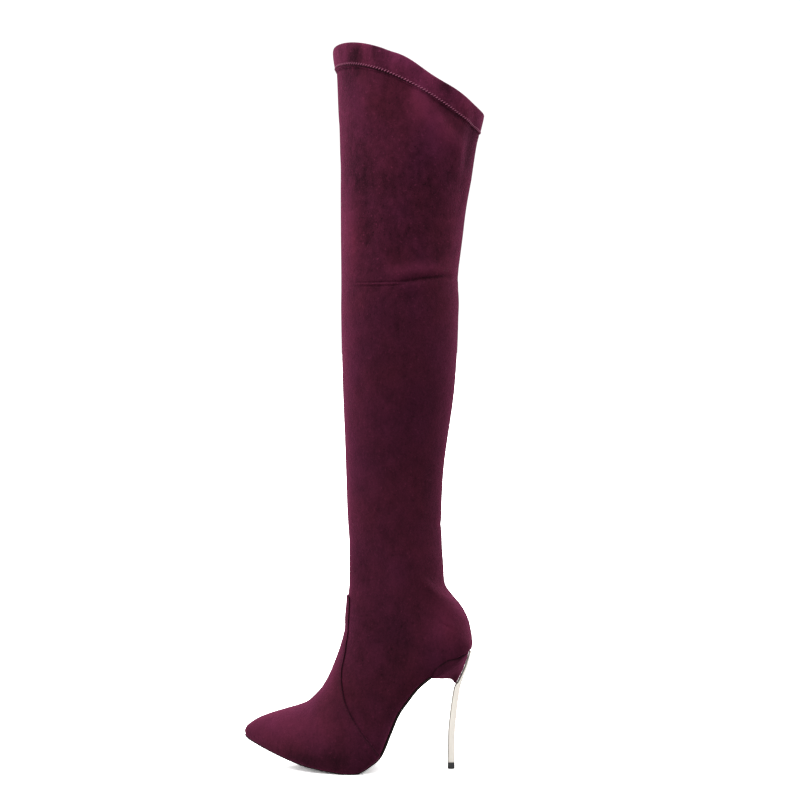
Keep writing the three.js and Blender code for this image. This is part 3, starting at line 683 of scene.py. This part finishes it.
def stitches(line, normals, pitch, length, thickness, slant):
    """Short thread loops along a line: one every pitch, as long as length, each a small bead
    pulled down into the suede at both ends and turned by slant from the line."""
    along = travelled(line)
    at = np.arange(pitch, along[-1] - pitch / 2, pitch)

    def at_stitches(values):
        return np.stack([np.interp(at, along, part) for part in values.T], -1)

    centre, ahead, up = (at_stitches(v) for v in (line, np.gradient(line, axis=0), normals))
    ahead /= np.linalg.norm(ahead, axis=1, keepdims=True)
    up -= ahead * (up * ahead).sum(1, keepdims=True)
    up /= np.linalg.norm(up, axis=1, keepdims=True)
    across = np.cross(up, ahead)
    ahead, across = (ahead * np.cos(slant) + across * np.sin(slant),
                     across * np.cos(slant) - ahead * np.sin(slant))
    run = np.linspace(-1, 1, 7)[None, :, None, None]
    turn = np.linspace(0, 2 * np.pi, 6, endpoint=False)[None, None, :, None]
    thick = thickness / 2 * np.sqrt(1 - run ** 4)
    ahead, across, up, centre = (v[:, None, None, :] for v in (ahead, across, up, centre))
    rise = thick * np.sin(turn) + thickness * (0.32 - 0.55 * run ** 2)
    loops = centre + ahead * run * length / 2 + across * thick * np.cos(turn) + up * rise
    return [surface(loop, True) for loop in loops]


def thread(name, colour):
    """Twisted sewing thread with a soft shine."""
    material, start = finish_nodes(name)
    ply = start.noise(2600, 2)
    shade = (0.35 + (ply - 0.5) * 1.2).held()
    coated(start, {
        "Base Color": shade.mixed(
            [c * 0.7 for c in colour] + [1], [c * 1.25 for c in colour] + [1]),
        "Roughness": 0.5 + (ply - 0.5) * 0.3,
        "Specular IOR Level": 0.15,
    }, ply, 0.0001)
    return material


def seam_line_on(offset, inset):
    """The vamp's seam from the outer side of the sole over the instep to the inner side, moved
    towards the toe by inset, with the surface's outward directions."""
    outer_row, outer_step = seam_places(160, offset, True)
    inner_row, inner_step = seam_places(160, offset, False)
    row = np.concatenate([outer_row[::-1], inner_row[1:]])
    step = np.concatenate([outer_step[::-1], on_side(inner_step[1:], False)])
    edge = worn_surface(row, step, offset)[0]
    up = facing(row, step, offset)
    along = np.gradient(edge, axis=0)
    along /= np.linalg.norm(along, axis=1, keepdims=True)
    inward = np.cross(up, along)
    inward *= -np.sign(inward[:, :1] + 1e-9)
    return edge + inward * inset, up


plum_thread = thread("plum_thread", (0.03, 0.006, 0.012))
row_of_stitches = stitches(*seam_line_on(vamp_offset, 2.2), 2.6, 1.9, 0.36, 0.0)
make_piece("vamp_stitches", row_of_stitches, [plum_thread])

# The collar band: a strip of the same suede, turned over the top edge and stitched down 21 mm
# below it in a paler thread. It is slightly puffed between the stitches and the edge.
hem_row = 40
stitch_row = hem_row + 0.07
rim_wave = 1.2
rim_wave_length = 55
rim_wave_zero = 41
rim_wave_start = 34
rim_wave_end = 132
rim_wave_fade = 14
band_profile = table("rise proud over", [
    [0.0, 0.3, 0],
    [-0.012, 0.62, 0],
    [-0.006, 1.05, 0],
    [0.02, 1.3, 0],
    [0.055, 1.28, 0],
    [0.1, 1.55, 0],
    [0.2, 1.95, 0],
    [0.4, 2.2, 0],
    [0.62, 2.15, 0],
    [0.82, 1.9, 0],
    [0.94, 1.6, 0],
    [1.0, 1.25, 0.3],
    [1.0, 0.6, 1.0],
    [1.0, -0.4, 1.35],
    [1.0, -1.5, 1.1],
    [1.0, -2.4, 0.4],
    [0.95, -2.8, 0],
    [0.75, -2.9, 0],
    [0.5, -2.85, 0],
    [0.46, -2.6, 0],
    [0.45, -2.1, 0],
    [0.7, -2.1, 0],
    [0.985, -2.1, 0],
    [1.0, -1.2, 0.3],
    [1.0, -0.3, 0.3],
    [0.985, 0.3, 0],
    [0.5, 0.3, 0],
])


def tight(step):
    """1 at the middle of the back, where the band is pulled flat, and 0 away from it."""
    return bell(step - half_steps, 1.6)


def make_band():
    """The band's profile carried round the collar. It is closed. Its puff comes and goes a
    little round the boot, as turned suede's does, and its rim waves by a millimetre."""
    count = len(band_profile["rise"])
    at = np.linspace(0, count, 64, endpoint=False)
    looped = {name: np.concatenate([v[-1:], v, v[:2]]) for name, v in band_profile.items()}
    rise, proud, over = (smooth(looped[name], at + 1)[:, None] for name in ("rise", "proud", "over"))
    step = np.linspace(0, 2 * half_steps, 260, endpoint=False)
    swell = 0.12 * np.sin(step * 2.3 + 1) + 0.09 * np.sin(step * 5.7) + 0.05 * np.sin(step * 11.3)
    puff = np.clip(proud - 1.3, 0, None) * swell
    flat = np.clip(proud - 0.35, 0, None) * tight(step) * (0.75 - 0.5 * np.clip(rise, 0, 1))
    row = hem_row + rise + np.maximum(over, 0) / over_rise
    grid = worn_surface(row, step, proud + puff - flat)[0]
    x = grid[..., 0]
    fade = np.clip((x - rim_wave_start) / rim_wave_fade, 0, 1)
    fade = fade * np.clip((rim_wave_end - x) / rim_wave_fade, 0, 1)
    wave = np.sin((x - rim_wave_zero) / rim_wave_length * 2 * np.pi)
    grid[..., 2] += rim_wave * wave * fade * np.clip(rise, 0, 1) ** 2
    # The band's mark: a paler tone that comes and goes round the collar, painted highlight where the
    # puff swells out and painted shade where it sinks, painted shadow along the band's lower edge, and
    # the patches.
    nap = -0.08 + 0.1 * np.sin(step * 1.9 + 0.4) * np.sin(step * 0.83 + 2) - 0.3 * swell
    nap_and_painted_light = nap + 0.7 * bell(rise - 0.01, 0.03) * (proud > 0) + nap_and_light_patch_paint(grid)
    grid, nap_and_painted_light = (np.concatenate([v, v[:1]]) for v in (grid, nap_and_painted_light))
    return surface(grid, True, mark=nap_and_painted_light)


band_suede = suede("band_suede", (0.008, 0.0015, 0.003, 1), (0.185, 0.026, 0.066, 1),
                   (0.175, 0.026, 0.083, 1))
make_piece("collar_band_suede", [make_band()], [band_suede], "collar_band")
hem_steps = np.linspace(0, 2 * half_steps, 900)
hem_proud = 1.42 - 0.75 * tight(hem_steps)
hem_line = worn_surface(stitch_row, hem_steps, hem_proud)[0]
hem_stitches = stitches(hem_line, facing(stitch_row, hem_steps, hem_proud), 3.0, 3.2, 0.95, 0.85)
pale_thread = thread("pale_plum_thread", (0.34, 0.1, 0.18))
make_piece("collar_stitches", hem_stitches, [pale_thread])

# The insole: a stiff board under a thin leather sock, which the foot stands on. It lies on the
# lasted edge of the upper, from the toe to the heel seat.
insole_thickness = 2.5
insole_toe_row = 1.5
insole_heel_row = 20.4
insole_margin = 1.2 - wall - gap


def squared_off(wave, power):
    """A sine or cosine to a power, its sign kept. Powers below 1 make a circle squarer."""
    return np.sign(wave) * np.abs(wave) ** power


def slab(rows, top, bottom, outer, inner, blunt=0.35):
    """A band along the last's bottom line. At each row it lies between the offsets top and
    bottom and reaches outer and inner to the sides, with a rounded edge. Its ends are rounded too
    in the plan."""
    _, rear = spine(rows)
    out = spine_normals(rows)[1]
    turn = smooth(sections["turn"], rows) * toe_shift
    angle = np.linspace(0, 2 * np.pi, 48, endpoint=False)
    sideways = squared_off(np.cos(angle), 0.14)
    depth = squared_off(np.sin(angle), blunt)
    middle, thick = ((bottom + top) / 2)[:, None], ((bottom - top) / 2)[:, None]
    point = rear[:, None] + out[:, None] * (middle + depth * thick)[..., None]
    reach = np.where(sideways < 0, outer[:, None], inner[:, None])
    return capped(np.stack([point[..., 0], turn[:, None] + sideways * reach, point[..., 1]], -1))


def bottom_reach(rows, margin):
    """How far the last's flat bottom goes to each side at each row, with a margin added."""
    section = part_row(rows)
    half = half_width(section)
    return (section["sole_out"] * section["outer"] * half + margin,
            section["sole_in"] * section["inner"] * half + margin)


def leather(name, dark, light, gloss, shine, grain=700):
    """Smooth finished leather: a fine grain of tight cells over slow clouds of colour."""
    material, start = finish_nodes(name)
    place = start.node("ShaderNodeTexCoord", out="Object")
    cells = start.node("ShaderNodeTexVoronoi", {}, {"Vector": place, "Scale": grain})
    cloud, scuff = start.noise(30, 3), start.noise(220, 3, (1, 0.25, 1))
    shade = (0.35 + (cloud - 0.5) * 0.9 + (scuff - 0.5) * 0.5).held()
    coated(start, {
        "Base Color": shade.mixed(dark, light),
        "Roughness": gloss + (scuff - 0.5) * 0.25,
        "Specular IOR Level": shine,
    }, cells * 0.6 + scuff * 0.5, 0.00025)
    return material


rows = np.linspace(insole_toe_row, insole_heel_row, 150)
from_end = np.minimum(rows - insole_toe_row, insole_heel_row - rows) + 0.02
taper = np.sqrt(np.clip(from_end / 0.8, 0, 1))
reach_out, reach_in = bottom_reach(rows, insole_margin)
inner_face = np.full_like(rows, -(wall + gap))
sock = slab(rows, inner_face - insole_thickness, inner_face, reach_out * taper, reach_in * taper)
sock_leather = leather("sock_leather", (0.1, 0.045, 0.035, 1), (0.17, 0.08, 0.06, 1), 0.55, 0.4)
make_piece("insole_sock", [surface(sock, True)], [sock_leather], "insole")

# The outsole: a thin leather sole from the toe to just past the heel's breast, where the cup
# hides its end. It follows the toe spring and the arch, thins towards the heel, is ground flat
# under the ball and is dyed dark.
sole_toe_row = 0.8
breast_row = 17.1
sole_tuck = 0.04
sole_thinning = 0.1


def sole_depth(row):
    """The sole's thickness: full at the ball and thinner at the heel's breast."""
    return sole_thickness * (1 - sole_thinning * np.minimum(part_row(row)["station"], 1))


rows = sole_toe_row + (breast_row + sole_tuck - sole_toe_row) * np.linspace(0, 1, 220) ** 1.3
taper = np.sqrt(np.clip((rows - sole_toe_row + 0.03) / 0.7, 0, 1))
reach_out, reach_in = bottom_reach(rows, sole_welt)
top = np.full_like(rows, gap)
sole = slab(rows, top, top + sole_depth(rows), reach_out * taper, reach_in * taper, 0.28)
sole[..., 2] = np.maximum(sole[..., 2], 0)
sole_leather = leather("dyed_sole_leather", (0.008, 0.004, 0.004, 1), (0.02, 0.01, 0.009, 1),
                       0.6, 0.12)
make_piece("outsole_leather", [surface(sole, True)], [sole_leather], "outsole")

# The heel pin: a plated metal pin, pale gold, that bows forward and runs on as a narrow spine
# up the back of the covered cup. height is a share of the heel seat's height, lean a share of
# the pin's inset toward the back, depth and width are shares of its own sizes.
pin_inset = 21.5
pin_depth = 7.4
pin_width = 8
pin_corner = 0.4
pin_squareness = 2.6
pin_rings = 150
seat_rows = np.linspace(20, 21.32, 80)
lift_height = 6.3
pin_rows = table("height lean depth width", [
    [0.052, 0, 0.96, 1],
    [0.126, 0, 1, 0.98],
    [0.226, 0.002, 0.98, 0.96],
    [0.327, 0.018, 0.98, 0.94],
    [0.427, 0.073, 0.98, 0.92],
    [0.527, 0.135, 0.95, 0.9],
    [0.628, 0.218, 0.93, 0.89],
    [0.678, 0.27, 0.9, 0.88],
    [0.709, 0.33, 0.81, 0.87],
    [0.725, 0.39, 0.66, 0.86],
    [0.778, 0.514, 0.515, 0.8],
    [0.845, 0.672, 0.478, 0.74],
    [0.904, 0.774, 0.427, 0.68],
    [0.945, 0.842, 0.377, 0.63],
    [0.985, 0.895, 0.352, 0.59],
])


def pin_at(z):
    """The pin's middle, half depth and half width at each height, on smooth curves."""
    at = np.linspace(0, len(pin_rows["height"]) - 1, 1200)
    heights = smooth(pin_rows["height"], at) * height_at(1)
    lean, depth, width = (np.interp(z, heights, smooth(pin_rows[name], at))
                          for name in ("lean", "depth", "width"))
    return heel_length - pin_inset + lean * pin_inset, depth * pin_depth / 2, width * pin_width / 2


def super_ring(fore, aft, half_wide, fore_power, aft_power, count):
    """Rings between side-view points fore and aft, blunter where their powers are higher."""
    angle = np.linspace(0, 2 * np.pi, count, endpoint=False)
    power = 2 / np.where(np.cos(angle) >= 0, fore_power, aft_power)
    lengthwise = squared_off(np.cos(angle), power)
    sideways = squared_off(np.sin(angle), power)
    point = aft[:, None] + (fore - aft)[:, None] * ((1 + lengthwise) / 2)[:, None]
    return np.stack([point[..., 0], -sideways * half_wide[:, None], point[..., 1]], -1)


def polished_metal():
    """Pale gold plating, softly polished, with the faintest draw lines up the pin."""
    material, start = finish_nodes("pale_gold_plating")
    lines = start.noise(900, 2, (1, 1, 0.02))
    cloud = start.noise(60, 2)
    coated(start, {
        "Base Color": cloud.mixed((0.69, 0.665, 0.605, 1), (0.74, 0.715, 0.65, 1)),
        "Metallic": 1.0,
        "Roughness": 0.36 + (lines - 0.5) * 0.08 + (cloud - 0.5) * 0.04,
    }, lines, 0.00002)
    return material


def make_pin():
    """Rings up the pin. Where they would enter the last they stop on its surface."""
    top = pin_rows["height"][-1] * height_at(1)
    z = np.append(lift_height, np.linspace(lift_height + pin_corner, top, pin_rings))
    middle, half_deep, half_wide = pin_at(z)
    corner = np.append(pin_corner, np.zeros(pin_rings))
    fore, aft = (np.stack([middle + sign * (half_deep - corner), z], -1) for sign in (-1, 1))
    grid = super_ring(fore, aft, half_wide - corner, pin_squareness, pin_squareness, 48)
    under = spine(seat_rows)[1] + spine_normals(seat_rows)[1] * gap
    grid[..., 2] = np.minimum(grid[..., 2], np.interp(grid[..., 0], under[:, 0], under[:, 1]))
    return surface(capped(grid), True)


make_piece("heel_pin_metal", [make_pin()], [polished_metal()], "heel_pin")

# The heel cup: a small block under the heel seat, covered in the same suede. Its top is pulled
# up to the upper's lasted edge, and its point runs down the front of the pin.
cup_dip = 3.2
cup_tip_share = 0.717
cup_tip_depth = 3
cup_width = 0.98 * heel_width / 2
cup_columns = 96
heel_seat_row = 20.9
cup_rows = table("to_tip dip down width", [
    [0, 0, 0, 1],
    [0.1, 0.06, 0.1, 0.93],
    [0.25, 0.25, 0.25, 0.79],
    [0.45, 0.5, 0.42, 0.6],
    [0.65, 0.84, 0.6, 0.43],
    [0.82, 1, 0.78, 0.3],
    [0.93, 0.53, 0.92, 0.2],
    [1, 0, 1, 0.13],
])


def make_cup():
    """Rings from the heel seat down to the cup's point, then its top, laid on the last. Each
    ring runs from the cup's underside to its back along the pin. The first ring's points move
    on to the last's surface at the same width, so that the cup ends at the upper's edge."""
    breast = np.array([breast_row])
    start = (spine(breast)[1] + spine_normals(breast)[1] * (gap + sole_thickness))[0]
    seat = spine(np.array([heel_seat_row]))[1][0]
    tip_z = cup_tip_share * height_at(1)
    middle, half_deep, _ = pin_at(tip_z)
    tip = np.array([middle - half_deep - gap - cup_tip_depth / 2, tip_z])
    at = np.linspace(0, len(cup_rows["width"]) - 1, 70)
    to_tip, dip, down, width = (smooth(column, at) for column in cup_rows.values())
    fore = start + (tip - start) * to_tip[:, None] + np.stack([0 * dip, dip * cup_dip], -1)
    z = seat[1] + (tip_z - seat[1]) * down
    middle, half_deep, _ = pin_at(z)
    aft = np.stack([middle - half_deep - gap, z], -1)
    grid = super_ring(fore, aft, width * cup_width, 5, 2.3, cup_columns)
    lengthwise = (grid[0, :, 0] - aft[0, 0]) / (fore[0, 0] - aft[0, 0])
    line = np.linspace(breast_row + 0.05, heel_seat_row, 200)
    bottom = spine(line)[1]
    span = fore[0] - aft[0]
    share = (bottom - aft[0]) @ span / (span @ span)
    row = np.interp(lengthwise, share[::-1], line[::-1])
    outer = grid[0, :, 1] <= 0

    def within(step):
        there = last_surface(row, on_side(step, outer), gap)[:, 1]
        return np.abs(there) - np.abs(grid[0, :, 1])

    step = crossing(within, np.full(cup_columns, 8.0), np.full(cup_columns, 15.0))
    step = on_side(step, outer)
    edge = last_surface(row, step, gap)
    lead = np.linspace(0, 1, 14)[1:-1, None, None]
    climb = edge + (grid[1] - edge) * lead
    order = np.arange(cup_columns // 2 + 1)
    left, right = step[order], step[-order]
    across = np.linspace(0, 1, 24)
    top = last_surface(row[order][:, None], left[:, None] + (right - left)[:, None] * across, gap)
    sides = np.concatenate([edge[None], climb, grid[1:], drawn_in(grid[-1])])
    from_front = np.linalg.norm(sides - sides[:, :1], axis=-1)
    below_seat = np.linalg.norm(sides - sides[:1], axis=-1)
    # Painted shade: the whole cup a little darker, darker towards its front line, and a dark line just
    # below the heel seat, where the cup meets the upper.
    nap_and_painted_light = 0.06 + 0.3 * bell(from_front, 3.2)
    nap_and_painted_light += 0.4 * bell(below_seat, 1.5) * np.clip((from_front - 8) / 12, 0.1, 1)
    return [surface(sides, True, mark=nap_and_painted_light), surface(top)]


make_piece("heel_cup_suede", make_cup(), [plum_suede], "heel_cup")

# The top lift: a small block of hard dark rubber under the pin, which can be changed when it is
# worn. It has the pin's own outline and is moulded with rounded edges above and below.
lift_edge = table("rise inset", [
    [0, 0.5],
    [0.1, 0.15],
    [0.45, 0],
])


def moulded_rubber():
    """Dark grey moulded rubber, matt, with a fine even grain."""
    material, start = finish_nodes("moulded_rubber")
    grain, cloud = start.noise(2400, 2), start.noise(150, 2)
    shade = (0.4 + (grain - 0.5) * 0.5 + (cloud - 0.5) * 0.6).held()
    coated(start, {
        "Base Color": shade.mixed((0.014, 0.014, 0.015, 1), (0.036, 0.036, 0.036, 1)),
        "Roughness": 0.72 + (grain - 0.5) * 0.2,
    }, grain, 0.0001)
    return material


z = np.concatenate([lift_edge["rise"], lift_height - lift_edge["rise"][::-1]])
inset = np.concatenate([lift_edge["inset"], lift_edge["inset"][::-1]])
middle, half_deep, half_wide = pin_at(np.full(len(z), lift_height))
fore, aft = (np.stack([middle + sign * (half_deep - inset), z], -1) for sign in (-1, 1))
lift = surface(capped(super_ring(fore, aft, half_wide - inset, 5, 5, 64)), True)
make_piece("top_lift_rubber", [lift], [moulded_rubber()], "top_lift")

# The studio: a plain pale floor in an even white surround, and soft lights, the brightest from
# the toe's side and above. The floor is over-bright where it is looked at, so that it runs into
# the surround and only the boot's shadow shows, and it throws little light back on the boot.
floor_size = 30
floor_height = -0.0002
floor_mesh = bpy.data.meshes.new("floor")
corners = [(-1, -1), (1, -1), (1, 1), (-1, 1)]
floor_points = [(x * floor_size, y * floor_size, floor_height) for x, y in corners]
floor_mesh.from_pydata(floor_points, [], [(0, 1, 2, 3)])
floor = bpy.data.objects.new("floor", floor_mesh)
bpy.context.scene.collection.objects.link(floor)
material, start = finish_nodes("floor_paint")
paint = start.noise(3, 2).mixed((2.6, 2.56, 2.56, 1), (2.65, 2.64, 2.64, 1))
seen = start.node("ShaderNodeLightPath", out="Is Camera Ray")
seen = seen + 0.19 * start.node("ShaderNodeLightPath", out="Is Glossy Ray")
pale = start.node("ShaderNodeBsdfDiffuse", {}, {"Color": paint})
dim = start.node("ShaderNodeBsdfDiffuse", {}, {"Color": (0.3, 0.28, 0.28, 1)})
coat = start.node("ShaderNodeMixShader", {}, {0: seen, 1: dim, 2: pale})
start.node("ShaderNodeOutputMaterial", {}, {"Surface": coat}, None)
floor_mesh.materials.append(material)

world = bpy.data.worlds.new("studio")
world.use_nodes = True
world.node_tree.nodes.clear()
start = Tone(world.node_tree)
seen = start.node("ShaderNodeLightPath", out="Is Camera Ray")
seen = seen + start.node("ShaderNodeLightPath", out="Is Glossy Ray")
light = {"Color": (1, 1, 1, 1), "Strength": 0.4 + seen * 0.7}
surround = start.node("ShaderNodeBackground", {}, light)
start.node("ShaderNodeOutputWorld", {}, {"Surface": surround}, None)
bpy.context.scene.world = world
bpy.context.scene.view_settings.view_transform = "Standard"


def soft_sun(name, toward, strength, spread):
    """A wide soft light as even as the sky's, from the direction that toward gives."""
    lamp = bpy.data.lights.new(name, "SUN")
    lamp.energy, lamp.angle = strength, np.radians(spread)
    light = bpy.data.objects.new(name, lamp)
    light.rotation_euler = (np.arctan2(np.hypot(toward[0], toward[1]), toward[2]), 0,
                            np.arctan2(toward[0], -toward[1]))
    bpy.context.scene.collection.objects.link(light)


soft_sun("toe_side_light", (-0.8, -0.32, 0.62), 3.0, 70)
soft_sun("overhead_light", (0.0, 0.1, 1.0), 2.0, 120)
soft_sun("heel_side_light", (0.9, 0.15, 0.25), 1.05, 60)

# The camera stands level with the top of the calf, 2.2 m away, and looks 2 degrees down at the
# boot's outer side, which is the photo's angle. The frame is 0.8 m wide where the boot stands.
camera_distance = 2.2
camera_height = 0.4474
look_down = np.radians(2)
frame_width = 0.8
camera = bpy.data.objects.new("photo_camera", bpy.data.cameras.new("photo_camera"))
camera.location = (0.05, -camera_distance, camera_height)
camera.rotation_euler = (np.pi / 2 - look_down, 0, 0)
camera.data.sensor_width = 36
camera.data.lens = 36 * camera_distance / np.cos(look_down) / frame_width
bpy.context.scene.collection.objects.link(camera)
bpy.context.scene.camera = camera
